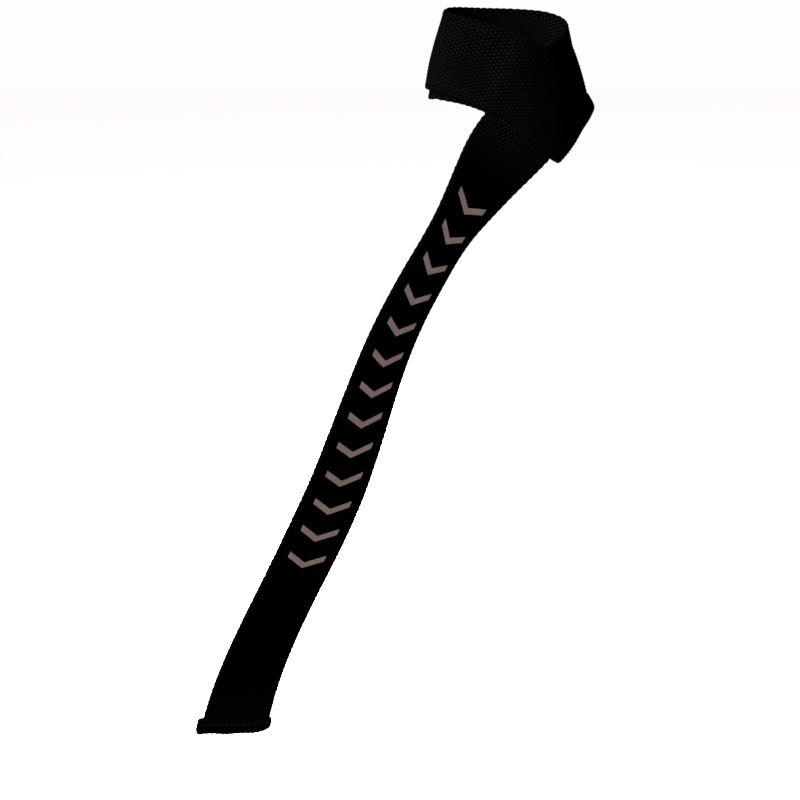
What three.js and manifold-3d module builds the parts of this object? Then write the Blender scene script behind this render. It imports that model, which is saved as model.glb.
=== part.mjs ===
// A lasso lifting strap in the shape that it has when it is put on. One length of woven webbing is
// folded back at one end and sewn into an eye. The strap goes once round a tapering hollow and back out
// through its own eye, and the rest of it hangs free, down to an end that is bound with a folded tape.
// Millimetres, +Z up. The origin is the middle of the hollow.

import * as THREE from "three";
import { mergeVertices } from "three/addons/utils/BufferGeometryUtils.js";
import Module from "manifold-3d";

const wasm = await Module();
wasm.setup();

// Webbing
const strapWidth = 38;
const strapThickness = 2.2;
const layerGap = 0.4; // clear space between two layers that lie on each other
const edgeRounding = 0.9; // how far the woven edge is rounded in from the side

// The loop lies on a form that fills its hollow, narrow at its top and wider downwards
const loopHalfWidth = 33.4;
const loopHalfDepth = 22.5;
const taperHeight = 153; // from the origin up to where the form's sides would meet
const formTilt = 2.6; // degrees that the form's top leans to the left
const flatDepth = 0.085; // share by which the form is drawn in where the eye's fold lies on it
const flatPlanAngle = -36; // degrees from +X, seen from above, where it is drawn in most
const flatSpread = 21; // degrees to each side in which that fades
const crossingPlanAngle = -62.5; // degrees from +X, seen from above, where the strap crosses itself
const eyeDrop = 35; // from the origin down to the strap's middle where it comes out of the eye

// The height of the strap's middle as it goes round the form, as a share of the drop to the eye. Turn
// is degrees from where it crosses itself, first to the left across the front, then round the back.
const loopLie = [
  { turn: -26, height: -1.08 },
  { turn: -12, height: -0.81 },
  { turn: 0, height: -0.59 },
  { turn: 18, height: -0.37 },
  { turn: 51, height: -0.1 },
  { turn: 89, height: 0.04 },
  { turn: 119, height: 0.08 },
  { turn: 145, height: 0.15 },
  { turn: 175, height: 0.16 },
  { turn: 240, height: 0.12 },
  { turn: 275, height: 0 },
  { turn: 299, height: -0.12 },
  { turn: 337, height: -0.32 },
  { turn: 360, height: -0.59 },
  { turn: 384, height: -1.09 },
  { turn: 400, height: -1.5 },
];

// Eye
const eyeClearance = 1.3; // between the eye's fold or seam and the strap that passes through
const seamLength = 41;
const endStray = 5.5; // how far the folded end has strayed to the lower edge by where it is cut
const cutSlant = 20; // degrees that it is cut off square, longer at its lower edge
const cutSlantLength = 30; // length in which the rows of the mesh turn to that cut
const layerRamp = 11; // length in which the strap climbs on to another layer
const cutClearance = 1; // between the cut end and where the strap over it starts down
const earlyClimb = 4; // how far ahead of the folded end the strap has done so

// Tail
const tailLength = 365.6; // from the eye to the middle of the bound end
const flattenLength = 45; // length in which the tail loses the curve that it has on the form
const endSlant = 4; // degrees that the end is cut off square
const endCurl = 2.8; // how much shorter the end is at its right edge, in a curve
const slantLength = 60; // length in which the rows of the mesh turn to the slanted end

// How the free tail hangs, by share of its length. Lean is degrees from straight down to the left,
// reach is degrees towards the front, and roll is degrees that its right edge is turned to the back.
const tailLie = [
  { at: 0.14, lean: 33, reach: 14, roll: 46 },
  { at: 0.25, lean: 29, reach: 6, roll: 50 },
  { at: 0.38, lean: 20, reach: 0, roll: 46 },
  { at: 0.5, lean: 19, reach: -2, roll: 38 },
  { at: 0.62, lean: 24, reach: -2, roll: 31 },
  { at: 0.76, lean: 25.5, reach: -2, roll: 30 },
  { at: 0.88, lean: 21.5, reach: 0, roll: 25 },
  { at: 1, lean: 13, reach: 2, roll: 15 },
];

// Binding on the tail's end
const bindingHeight = 7.8;
const bindingWall = 1.2;
const bindingProudLeft = 2.6;
const bindingProudRight = 1.4;
const bindingShoulder = 0.6; // radius of its upper corners, as a share of how far it stands proud
const bindingCorner = 2.4; // radius of its lower corners
const seatGap = 0.3; // clear space between the webbing and the binding on it

// Mesh
const acrossSteps = 8;
const loopStep = 3.2;
const tailStep = 7.5;
const bindingStep = 0.8;
const foldSteps = 8;
const turnStep = 0.5; // degrees, in which the strap's route on the form is worked out
const pathStep = 0.5; // length in which the tail's route is worked out

const radians = THREE.MathUtils.degToRad;
const layerPitch = strapThickness + layerGap;

// A smooth value through one column of a table, with the slope at each row taken from its neighbours.
function smoothColumn(rows, key, column, value) {
  let i = 0;
  while (i < rows.length - 2 && rows[i + 1][key] < value) i += 1;
  const slope = (k) => {
    const a = rows[Math.max(k - 1, 0)];
    const b = rows[Math.min(k + 1, rows.length - 1)];
    return (b[column] - a[column]) / (b[key] - a[key]);
  };
  const span = rows[i + 1][key] - rows[i][key];
  const t = (value - rows[i][key]) / span;
  const rise = 3 * t ** 2 - 2 * t ** 3;
  const bend = span * ((t ** 3 - 2 * t ** 2 + t) * slope(i) + (t ** 3 - t ** 2) * slope(i + 1));
  return rows[i][column] * (1 - rise) + rows[i + 1][column] * rise + bend;
}

// The value of one name at a place between two steps of a worked-out list.
function along(list, key, column, value) {
  let low = 0;
  let high = list.length - 1;
  while (high - low > 1) {
    const middle = Math.floor((low + high) / 2);
    if (list[middle][key] < value) low = middle;
    else high = middle;
  }
  const part = (value - list[low][key]) / (list[high][key] - list[low][key]);
  return list[low][column] + (list[high][column] - list[low][column]) * part;
}

// The tapering form

const formDown = new THREE.Vector3(Math.sin(radians(formTilt)), 0, -Math.cos(radians(formTilt)));
const formBack = new THREE.Vector3(0, 1, 0);
const formRight = new THREE.Vector3().crossVectors(formDown, formBack);
const formTip = formDown.clone().multiplyScalar(-taperHeight);
const slopeAcross = loopHalfWidth / taperHeight;
const slopeBack = loopHalfDepth / taperHeight;

// The form's straight line from its tip, at a turn in degrees from the crossing.
function formLine(turn) {
  const plan = crossingPlanAngle - turn;
  const fromFlat = THREE.MathUtils.euclideanModulo(plan - flatPlanAngle + 180, 360) - 180;
  const size = 1 - flatDepth * Math.exp(-((fromFlat / flatSpread) ** 2));
  const line = formDown.clone();
  line.addScaledVector(formRight, size * slopeAcross * Math.cos(radians(plan)));
  return line.addScaledVector(formBack, size * slopeBack * Math.sin(radians(plan)));
}

// The form's outward direction along that line.
function formNormal(turn) {
  const round = formLine(turn - turnStep).sub(formLine(turn + turnStep));
  return formLine(turn).cross(round).normalize();
}

// The strap's route, worked out on the form unrolled flat as a fan: how far the fan has opened, how
// far the strap is from its tip, and its heading, which is how steeply it runs away from the tip.
function workOutRoute() {
  const steps = [];
  const first = loopLie[0].turn;
  const last = loopLie.at(-1).turn;
  let fan = 0;
  let length = 0;
  for (let turn = first; turn <= last; turn += turnStep) {
    const line = formLine(turn).normalize();
    const height = eyeDrop * smoothColumn(loopLie, "turn", "height", turn);
    const reach = (height - formTip.z) / line.z;
    const before = steps.at(-1) ?? { reach };
    const opened = steps.length > 0 ? line.angleTo(formLine(turn - turnStep)) : 0;
    fan += opened;
    length += Math.hypot(reach - before.reach, reach * opened);
    steps.push({ turn, fan, reach, length, heading: Math.atan2(reach - before.reach, reach * opened) });
  }
  steps[0].heading = steps[1].heading;
  return steps;
}

const route = workOutRoute();
const eyeCrossing = along(route, "turn", "length", 0);
const tailCrossing = along(route, "turn", "length", 360);
const crossingAngle = Math.PI - along(route, "turn", "heading", 360) + along(route, "turn", "heading", 0);

// A place on the form: at a length along the strap, and across it, positive towards the form's tip.
function onForm(length, across) {
  const reach = along(route, "length", "reach", length);
  const heading = along(route, "length", "heading", length);
  const inwards = reach - across * Math.cos(heading);
  const sideways = across * Math.sin(heading);
  const fan = along(route, "length", "fan", length) + Math.atan2(sideways, inwards);
  const turn = along(route, "fan", "turn", fan);
  const line = formLine(turn).normalize();
  const point = formTip.clone().addScaledVector(line, Math.hypot(inwards, sideways));
  return { point, normal: formNormal(turn) };
}

function directionOnForm(length, across) {
  const ahead = onForm(length + pathStep, across).point;
  return ahead.sub(onForm(length - pathStep, across).point).normalize();
}

// The eye's places along the strap

const passingHalf = (0.5 * strapWidth * (1 + Math.abs(Math.cos(crossingAngle)))) / Math.sin(crossingAngle);
const eyeHalf = passingHalf + eyeClearance;
const foldAt = eyeCrossing - eyeHalf;
const seamStart = eyeCrossing + eyeHalf;
const seamEnd = seamStart + seamLength;
const leavesForm = tailCrossing + eyeHalf;

function easing(from, to, value) {
  return THREE.MathUtils.smoothstep(value, from, to);
}

// The length at which the folded end is cut, at a place across it.
function cutAt(across) {
  return seamEnd - across * Math.tan(radians(cutSlant));
}

// How many layers of webbing lie between the form and the strap.
function layersBelow(length, across) {
  const intoSeam = easing(seamStart - eyeClearance, seamStart + layerRamp, length);
  const offEnd = cutAt(across) + cutClearance;
  const offSeam = easing(offEnd, offEnd + layerRamp, length);
  const climbed = tailCrossing - eyeHalf - earlyClimb;
  const overFold = easing(climbed - layerRamp, climbed, length);
  return 2 - intoSeam - offSeam + overFold;
}

// The free tail

const exitDirection = directionOnForm(leavesForm, 0);
const exitPlace = onForm(leavesForm, 0);
const exitLift = layersBelow(leavesForm, 0) * layerPitch + 0.5 * strapThickness;
const exitPoint = exitPlace.point.clone().addScaledVector(exitPlace.normal, exitLift);
const exitRight = new THREE.Vector3().crossVectors(exitDirection, exitPlace.normal).negate();

function tailAxes(lean, reach, roll) {
  const ahead = new THREE.Vector3(
    -Math.sin(lean) * Math.cos(reach),
    -Math.sin(reach),
    -Math.cos(lean) * Math.cos(reach),
  );
  const right = new THREE.Vector3(Math.cos(lean), 0, -Math.sin(lean));
  right.applyAxisAngle(ahead, -roll);
  const face = new THREE.Vector3().crossVectors(ahead, right);
  return { ahead, right, face };
}

// The same three angles for the strap as it leaves the form.
function exitLie() {
  const lean = Math.atan2(-exitDirection.x, -exitDirection.z);
  const reach = Math.asin(-exitDirection.y);
  const level = tailAxes(lean, reach, 0);
  const roll = Math.atan2(-exitRight.dot(level.face), exitRight.dot(level.right));
  const degrees = THREE.MathUtils.radToDeg;
  return { at: 0, lean: degrees(lean), reach: degrees(reach), roll: degrees(roll) };
}

const lieRows = [exitLie(), ...tailLie];
const tailPlaces = [];
const tailPoint = exitPoint.clone();
while (tailPlaces.length * pathStep < tailLength + strapWidth) {
  const share = (tailPlaces.length * pathStep) / tailLength;
  const angle = (column) => radians(smoothColumn(lieRows, "at", column, Math.min(share, 1)));
  const axes = tailAxes(angle("lean"), angle("reach"), angle("roll"));
  tailPlaces.push({ point: tailPoint.clone(), ...axes });
  tailPoint.addScaledVector(axes.ahead, pathStep);
}

// The shape that the strap has across its width as it leaves the form, in its own axes.
function exitSection(across) {
  const place = onForm(leavesForm, across);
  const lifted = place.point.clone().addScaledVector(place.normal, exitLift).sub(exitPoint);
  return {
    ahead: lifted.dot(exitDirection),
    right: lifted.dot(exitRight),
    face: lifted.dot(exitPlace.normal),
    normal: place.normal,
  };
}

// A place on the tail: past the eye, across the strap, and up from the middle of its thickness.
function onTail(past, across, height) {
  const step = THREE.MathUtils.clamp(Math.round(past / pathStep), 0, tailPlaces.length - 1);
  const place = tailPlaces[step];
  const beyond = past - step * pathStep;
  const curved = 1 - easing(0, flattenLength, past);
  const section = exitSection(across);
  const ahead = section.ahead * curved + beyond;
  const right = THREE.MathUtils.lerp(-across, section.right, curved);
  const normal = place.face.clone().lerp(section.normal, curved).normalize();
  const point = place.point.clone();
  point.addScaledVector(place.ahead, ahead);
  point.addScaledVector(place.right, right);
  point.addScaledVector(place.face, section.face * curved);
  return point.addScaledVector(normal, height);
}

// The rows of the mesh turn towards the end until they lie along its cut, which is slanted and curls
// up at the right edge.
function slanted(past, across) {
  const curl = endCurl * Math.max((-2 * across) / strapWidth, 0) ** 3;
  const cut = across * Math.tan(radians(endSlant)) - curl;
  return past + cut * easing(tailLength - slantLength, tailLength, past);
}

function onLoop(length, across, height) {
  const place = onForm(length, across);
  const lift = layersBelow(length, across) * layerPitch + 0.5 * strapThickness + height;
  return place.point.addScaledVector(place.normal, lift);
}

// The eye's fold turns half round the gap that the strap passes through. Turned is 0 on the eye's
// outer layer and half a turn on its inner layer.
function onFold(turned, across, height) {
  const radius = layerPitch;
  const place = onForm(foldAt, across);
  const direction = directionOnForm(foldAt, across);
  const fromMiddle = radius + height;
  const point = place.point.addScaledVector(place.normal, 0.5 * strapThickness + radius);
  point.addScaledVector(place.normal, fromMiddle * Math.cos(turned));
  return point.addScaledVector(direction, -fromMiddle * Math.sin(turned));
}

// The folded end lies on the form, and strays from the line of the layer above it.
function onInnerLayer(length, across, height) {
  const turned = easing(seamEnd - cutSlantLength, seamEnd, length);
  const stray = endStray * ((length - foldAt) / (seamEnd - foldAt)) ** 3;
  const place = onForm(length + (cutAt(across) - seamEnd) * turned, across - stray);
  return place.point.addScaledVector(place.normal, 0.5 * strapThickness - height);
}

// Solids

// The webbing's outline in section: places across the width and up from the middle of the thickness.
function strapSection(halfWidth, halfThickness, rounding) {
  const flat = halfWidth - rounding;
  const face = Array.from({ length: acrossSteps + 1 }, (_, i) => flat * ((2 * i) / acrossSteps - 1));
  return [
    ...face.map((across) => ({ across, height: halfThickness })),
    { across: halfWidth, height: 0.4 * halfThickness },
    { across: halfWidth, height: -0.4 * halfThickness },
    ...face.toReversed().map((across) => ({ across, height: -halfThickness })),
    { across: -halfWidth, height: -0.4 * halfThickness },
    { across: -halfWidth, height: 0.4 * halfThickness },
  ];
}

// A closed solid through rings of points that follow each other.
function loft(rings) {
  const count = rings[0].length;
  const positions = rings.flat().flatMap((p) => [p.x, p.y, p.z]);
  const index = [];
  for (let i = 0; i < rings.length - 1; i += 1) {
    for (let k = 0; k < count; k += 1) {
      const a = i * count + k;
      const b = i * count + ((k + 1) % count);
      index.push(a, b, b + count, a, b + count, a + count);
    }
  }
  const last = (rings.length - 1) * count;
  for (let k = 0; k < count / 2 - 1; k += 1) {
    const j = count - 1 - k;
    index.push(k + 1, k, j, k + 1, j, j - 1);
    index.push(last + k, last + k + 1, last + j - 1, last + k, last + j - 1, last + j);
  }
  const geometry = new THREE.BufferGeometry();
  geometry.setAttribute("position", new THREE.Float32BufferAttribute(positions, 3));
  geometry.setIndex(index);
  return geometry;
}

function evenly(from, to, step) {
  const count = Math.max(2, Math.round(Math.abs(to - from) / step));
  return Array.from({ length: count }, (_, i) => from + ((to - from) * i) / count);
}

// Every row of the webbing, from the cut end under the eye's seam to the bound end of the tail.
function webbingRings() {
  const section = strapSection(0.5 * strapWidth, 0.5 * strapThickness, edgeRounding);
  const ring = (place) => section.map(({ across, height }) => place(across, height));
  const rings = [];
  for (const length of evenly(seamEnd, foldAt, loopStep)) {
    rings.push(ring((across, height) => onInnerLayer(length, across, height)));
  }
  for (let i = 0; i < foldSteps; i += 1) {
    const turned = Math.PI * (1 - i / foldSteps);
    rings.push(ring((across, height) => onFold(turned, across, height)));
  }
  for (const length of evenly(foldAt, leavesForm, loopStep)) {
    rings.push(ring((across, height) => onLoop(length, across, height)));
  }
  for (const past of [...evenly(0, tailLength, tailStep), tailLength]) {
    rings.push(ring((across, height) => onTail(slanted(past, across), across, height)));
  }
  return rings;
}

// How far a rounded corner draws in the edge at a distance from the corner's end.
function roundedIn(radius, fromEnd) {
  return radius - Math.sqrt(radius ** 2 - Math.max(radius - fromEnd, 0) ** 2);
}

// A slab that follows the tail, from one place past the eye to another. Sides gives the places across
// of its right and left edge at each place past the eye.
function tailSlab(from, to, sides, halfThickness, rounding) {
  const rings = [...evenly(from, to, bindingStep), to].map((past) => {
    const { right, left } = sides(past);
    const middle = 0.5 * (left + right);
    const section = strapSection(0.5 * (left - right), halfThickness, rounding);
    return section.map(({ across, height }) => {
      const place = middle + across;
      return onTail(slanted(past, place), place, height);
    });
  });
  return loft(rings);
}

function solid(geometry) {
  geometry.deleteAttribute("normal");
  geometry.deleteAttribute("uv");
  const merged = mergeVertices(geometry);
  const vertProperties = new Float32Array(merged.attributes.position.array);
  const triVerts = new Uint32Array(merged.index.array);
  return new wasm.Manifold(new wasm.Mesh({ numProp: 3, vertProperties, triVerts }));
}

function geometryOf(manifold) {
  const mesh = manifold.getMesh();
  const geometry = new THREE.BufferGeometry();
  geometry.setAttribute("position", new THREE.Float32BufferAttribute(mesh.vertProperties, 3));
  geometry.setIndex(Array.from(mesh.triVerts));
  return geometry;
}

// The binding is a tape folded over the end, with a pocket that the webbing sits in.
function bindingGeometry() {
  const half = 0.5 * strapWidth;
  const pocketHalf = 0.5 * strapThickness + seatGap;
  const top = tailLength - bindingHeight;
  const bottom = tailLength + seatGap + bindingWall;
  const side = (proud, past) => {
    const shoulder = roundedIn(bindingShoulder * proud, past - top);
    return half + proud - shoulder - roundedIn(bindingCorner, bottom - past);
  };
  const outerSides = (past) => ({
    right: -side(bindingProudRight, past),
    left: side(bindingProudLeft, past),
  });
  const pocketSides = () => ({ right: -half - seatGap, left: half + seatGap });
  const outer = tailSlab(top, bottom, outerSides, pocketHalf + bindingWall, bindingWall);
  const pocketTop = top - bindingHeight;
  const pocket = tailSlab(pocketTop, tailLength + seatGap, pocketSides, pocketHalf, edgeRounding);
  return geometryOf(solid(outer).subtract(solid(pocket)));
}

function piece(name, geometry, color, roughness) {
  geometry.computeVertexNormals();
  const material = new THREE.MeshStandardMaterial({ color, roughness, metalness: 0 });
  const mesh = new THREE.Mesh(geometry, material);
  mesh.name = name;
  return mesh;
}

const strap = new THREE.Group();
strap.add(piece("webbing", loft(webbingRings()), 0x131318, 0.85));
strap.add(piece("end_binding", bindingGeometry(), 0x121216, 0.8));

export default strap;
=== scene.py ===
# %% [markdown]
# # A weightlifting strap
# One length of heavy woven webbing makes the whole strap. Its end is folded back and sewn into an
# eye, the strap makes one round loop and goes out through that eye, and the rest hangs free as a
# long tail with a bound end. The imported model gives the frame, and every piece below is made in
# the same place.

import math

import bpy
import numpy as np
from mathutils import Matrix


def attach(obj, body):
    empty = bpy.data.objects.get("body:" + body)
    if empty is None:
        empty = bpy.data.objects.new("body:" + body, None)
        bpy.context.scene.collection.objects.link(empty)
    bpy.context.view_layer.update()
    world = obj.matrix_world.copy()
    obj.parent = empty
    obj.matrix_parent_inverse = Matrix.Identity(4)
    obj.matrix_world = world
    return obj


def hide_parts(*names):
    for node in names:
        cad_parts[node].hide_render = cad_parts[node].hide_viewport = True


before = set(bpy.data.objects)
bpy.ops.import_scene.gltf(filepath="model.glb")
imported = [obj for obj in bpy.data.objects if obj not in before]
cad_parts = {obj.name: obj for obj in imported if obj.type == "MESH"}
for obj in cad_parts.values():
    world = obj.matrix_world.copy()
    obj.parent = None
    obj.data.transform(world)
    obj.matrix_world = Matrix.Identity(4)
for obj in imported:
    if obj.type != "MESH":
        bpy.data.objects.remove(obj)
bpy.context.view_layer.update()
print("frame nodes:", sorted(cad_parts))

# %% [markdown]
# ## The camera
# The strap was seen from the front and a little from above. A camera is made first, because the
# size of the weave and of the stitches is judged through it. A normal lens of 50 mm keeps the
# near loop and the far end of the tail in the right proportion.

# %% Camera
MM = 0.001
CAMERA_PLACE = (-53.2 * MM, -592.4 * MM, 0.5 * MM)
CAMERA_DIP = 17.2
LENS = 50
SENSOR = 36
NEAREST_SEEN = 10 * MM
bpy.ops.object.camera_add(location=CAMERA_PLACE, rotation=(math.radians(90 - CAMERA_DIP), 0, 0))
camera = bpy.context.object
camera.data.lens = LENS
camera.data.sensor_width = SENSOR
camera.data.clip_start = NEAREST_SEEN
bpy.context.scene.camera = camera
print("camera sees", round(SENSOR / LENS, 2), "m across at a distance of 1 m")

# %% [markdown]
# ## Floor and light
# Black cloth shows its weave only by its sheen, so the light matters as much as the material. One
# small strong panel from the upper left picks out the crowns of the yarns and leaves the grooves
# dark. Two wider panels behind the strap light its back. They don't show in reflections, because
# they would glint along the edges that are seen from the front. An even white world stands in for
# a bright studio and doesn't show in reflections either, because it would turn the black cloth
# grey. For the same reason the plain pale floor is seen but throws no light back on to the strap.

# %% Lights
LIGHT_AIM = (-60 * MM, -20 * MM, -150 * MM)

# Name, place, side in metres, power in watts, and whether it shows in reflections.
PANELS = [
    ("key_panel", (-0.95, -0.55, 0.45), 0.35, 110, True),
    ("back_right_panel", (0.45, 0.95, 0.2), 0.5, 80, False),
    ("back_left_panel", (-0.5, 0.95, 0.3), 0.5, 90, False),
]


def area_light(name, place, side, power, glints):
    """A square panel of light that is turned towards the strap."""
    bpy.ops.object.light_add(type="AREA", location=place)
    light = bpy.context.object
    light.name = name
    light.data.energy = power
    light.data.size = side
    x, y, z = (a - p for a, p in zip(LIGHT_AIM, place))
    light.rotation_euler = (math.atan2(math.hypot(x, y), -z), 0, math.atan2(y, x) - math.pi / 2)
    light.visible_glossy = glints


for panel in PANELS:
    area_light(*panel)
print("lights:", [panel[0] for panel in PANELS])

# %% World and floor
WORLD_COLOR = (1.0, 0.985, 0.995, 1)
WORLD_STRENGTH = 1.0
FLOOR_COLOR = (0.99, 0.975, 0.985, 1)
FLOOR_SIDE = 40
FLOOR_Z = -0.52


def plain_world():
    world = bpy.data.worlds.new("studio")
    world.use_nodes = True
    background = world.node_tree.nodes["Background"]
    background.inputs["Color"].default_value = WORLD_COLOR
    background.inputs["Strength"].default_value = WORLD_STRENGTH
    bpy.context.scene.world = world
    world.cycles_visibility.glossy = False


def pale_floor():
    bpy.ops.mesh.primitive_plane_add(size=FLOOR_SIDE, location=(0, 0, FLOOR_Z))
    floor = bpy.context.object
    floor.name = "studio_floor"
    material = bpy.data.materials.new("pale_floor")
    material.use_nodes = True
    shader = material.node_tree.nodes["Principled BSDF"]
    shader.inputs["Base Color"].default_value = FLOOR_COLOR
    shader.inputs["Roughness"].default_value = 1
    shader.inputs["Specular IOR Level"].default_value = 0
    floor.data.materials.append(material)
    floor.visible_glossy = False
    floor.visible_diffuse = False


plain_world()
pale_floor()
bpy.context.scene.view_settings.view_transform = "Standard"
print("floor at", FLOOR_Z, "m")

# %% [markdown]
# ## Sizes of the strap
# These are the same named sizes as in the part's source, in metres. The loop lies on an invisible
# tapering form, a little tilted and with one flatter side. Working on that form, unrolled flat as
# a fan, keeps the woven width true: a strap can bend, but it can't stretch.

# %% Sizes of the webbing
STRAP_WIDTH = 38 * MM
STRAP_THICKNESS = 2.2 * MM
LAYER_GAP = 0.4 * MM
LAYER_PITCH = STRAP_THICKNESS + LAYER_GAP
print("webbing", STRAP_WIDTH / MM, "by", STRAP_THICKNESS / MM, "mm")

# %% Sizes of the form and the loop
LOOP_HALF_WIDTH = 33.4 * MM
LOOP_HALF_DEPTH = 22.5 * MM
TAPER_HEIGHT = 153 * MM
FORM_TILT = 2.6
FLAT_DEPTH = 0.085
FLAT_PLAN_ANGLE = -36
FLAT_SPREAD = 21
CROSSING_PLAN_ANGLE = -62.5
EYE_DROP = 35 * MM

# Turn in degrees from where the strap crosses itself, and the height there as a share of the
# eye's drop.
LOOP_LIE = [
    (-26, -1.08),
    (-12, -0.81),
    (0, -0.59),
    (18, -0.37),
    (51, -0.1),
    (89, 0.04),
    (119, 0.08),
    (145, 0.15),
    (175, 0.16),
    (240, 0.12),
    (275, 0),
    (299, -0.12),
    (337, -0.32),
    (360, -0.59),
    (384, -1.09),
    (400, -1.5),
]
print("loop described at", len(LOOP_LIE), "turns, up to", LOOP_LIE[-1][0], "degrees")

# %% [markdown]
# ## The strap's route round the form
# A smooth curve goes through each column of the two short tables, and the loop's heights are laid
# out on the form. A point on the strap is then found by how far along it lies and how far across.

# %% Smooth values through a table


def smooth_column(rows, column, value):
    """A smooth value through one column, with the slope at each row taken from its neighbours."""
    table = np.array(rows, dtype=float)
    keys, values = table[:, 0], table[:, column]
    order = np.arange(len(keys))
    before, after = np.maximum(order - 1, 0), np.minimum(order + 1, len(keys) - 1)
    slopes = (values[after] - values[before]) / (keys[after] - keys[before])
    i = np.clip(np.searchsorted(keys, value) - 1, 0, len(keys) - 2)
    span = keys[i + 1] - keys[i]
    t = (value - keys[i]) / span
    rise = 3 * t**2 - 2 * t**3
    bend = span * ((t**3 - 2 * t**2 + t) * slopes[i] + (t**3 - t**2) * slopes[i + 1])
    return values[i] * (1 - rise) + values[i + 1] * rise + bend


def easing(start, end, value):
    """A share that goes smoothly from 0 at the start to 1 at the end."""
    t = np.clip((value - start) / (end - start), 0, 1)
    return t * t * (3 - 2 * t)


def unit(vectors):
    """The same directions, each one long."""
    return vectors / np.linalg.norm(vectors, axis=-1, keepdims=True)


def scaled(vector, amount):
    """A vector, or a field of them, times a field of amounts."""
    return vector * np.asarray(amount)[..., None]


# %% The tapering form
TURN_STEP = 0.5
tilt = math.radians(FORM_TILT)
form_down = np.array([math.sin(tilt), 0, -math.cos(tilt)])
form_back = np.array([0.0, 1.0, 0.0])
form_right = np.cross(form_down, form_back)
form_tip = -form_down * TAPER_HEIGHT
slope_across = LOOP_HALF_WIDTH / TAPER_HEIGHT
slope_back = LOOP_HALF_DEPTH / TAPER_HEIGHT


def form_line(turn):
    """The form's straight line from its tip, at a turn in degrees from the crossing."""
    plan = CROSSING_PLAN_ANGLE - np.asarray(turn, dtype=float)
    from_flat = (plan - FLAT_PLAN_ANGLE + 180) % 360 - 180
    size = 1 - FLAT_DEPTH * np.exp(-((from_flat / FLAT_SPREAD) ** 2))
    line = form_down + scaled(form_right, size * slope_across * np.cos(np.radians(plan)))
    return line + scaled(form_back, size * slope_back * np.sin(np.radians(plan)))


def form_normal(turn):
    """The form's outward direction along that line."""
    around = form_line(turn - TURN_STEP) - form_line(turn + TURN_STEP)
    return unit(np.cross(form_line(turn), around))


inside = [round(2 * half / MM, 1) for half in (LOOP_HALF_WIDTH, LOOP_HALF_DEPTH)]
print("form", inside[0], "by", inside[1], "mm at the loop")

# %% The route on the form
PATH_STEP = 0.5 * MM


def work_out_route():
    """At each turn: how far the fan has opened, how far its tip is, and the strap's heading."""
    turn = np.arange(LOOP_LIE[0][0], LOOP_LIE[-1][0] + TURN_STEP / 2, TURN_STEP)
    line = unit(form_line(turn))
    height = EYE_DROP * smooth_column(LOOP_LIE, 1, turn)
    reach = (height - form_tip[2]) / line[:, 2]
    opened = np.arccos(np.clip(np.sum(line[1:] * line[:-1], axis=1), -1, 1))
    outwards, sideways = np.diff(reach), reach[1:] * opened
    heading = np.arctan2(outwards, sideways)
    return {
        "turn": turn,
        "fan": np.concatenate([[0], np.cumsum(opened)]),
        "reach": reach,
        "length": np.concatenate([[0], np.cumsum(np.hypot(outwards, sideways))]),
        "heading": np.concatenate([heading[:1], heading]),
    }


route = work_out_route()


def along(key, column, value):
    """One name's value at a place between two steps of the route, or a little past its ends."""
    keys, values = route[key], route[column]
    i = np.clip(np.searchsorted(keys, value) - 1, 0, len(keys) - 2)
    part = (value - keys[i]) / (keys[i + 1] - keys[i])
    return values[i] + (values[i + 1] - values[i]) * part


def on_form(length, across):
    """Point and outward direction at a length along the strap and a place across it."""
    heading = along("length", "heading", length)
    inwards = along("length", "reach", length) - across * np.cos(heading)
    sideways = across * np.sin(heading)
    turn = along("fan", "turn", along("length", "fan", length) + np.arctan2(sideways, inwards))
    point = form_tip + scaled(unit(form_line(turn)), np.hypot(inwards, sideways))
    return point, form_normal(turn)


def direction_on_form(length, across):
    """Which way the strap runs there."""
    ahead, _ = on_form(length + PATH_STEP, across)
    behind, _ = on_form(length - PATH_STEP, across)
    return unit(ahead - behind)


print("route of", len(route["turn"]), "steps,", round(route["length"][-1] / MM, 1), "mm long")

# %% Sizes of the eye
EYE_CLEARANCE = 1.3 * MM
SEAM_LENGTH = 41 * MM
END_STRAY = 5.5 * MM
CUT_SLANT = 20
CUT_SLANT_LENGTH = 30 * MM
LAYER_RAMP = 11 * MM
CUT_CLEARANCE = 1 * MM
EARLY_CLIMB = 4 * MM
print("eye's seam", SEAM_LENGTH / MM, "mm, cut at", CUT_SLANT, "degrees")

# %% The eye's places along the strap
eye_crossing = float(along("turn", "length", 0))
tail_crossing = float(along("turn", "length", 360))
headings = [float(along("turn", "heading", turn)) for turn in (0, 360)]
crossing_angle = math.pi - headings[1] + headings[0]
# Half the length that the passing strap takes up where it goes through the eye.
passing_half = 0.5 * STRAP_WIDTH * (1 + abs(math.cos(crossing_angle))) / math.sin(crossing_angle)
eye_half = passing_half + EYE_CLEARANCE
fold_at = eye_crossing - eye_half
seam_start = eye_crossing + eye_half
seam_end = seam_start + SEAM_LENGTH
leaves_form = tail_crossing + eye_half


def cut_at(across):
    """The length at which the folded end is cut, at a place across it."""
    return seam_end - across * math.tan(math.radians(CUT_SLANT))


def layers_below(length, across):
    """How many layers of webbing lie between the form and the strap."""
    into_seam = easing(seam_start - EYE_CLEARANCE, seam_start + LAYER_RAMP, length)
    off_end = cut_at(across) + CUT_CLEARANCE
    off_seam = easing(off_end, off_end + LAYER_RAMP, length)
    climbed = tail_crossing - eye_half - EARLY_CLIMB
    return 2 - into_seam - off_seam + easing(climbed - LAYER_RAMP, climbed, length)


print("eye", round(2 * eye_half / MM, 1), "mm wide")
print("the strap crosses itself at", round(math.degrees(crossing_angle), 1), "degrees")

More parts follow.
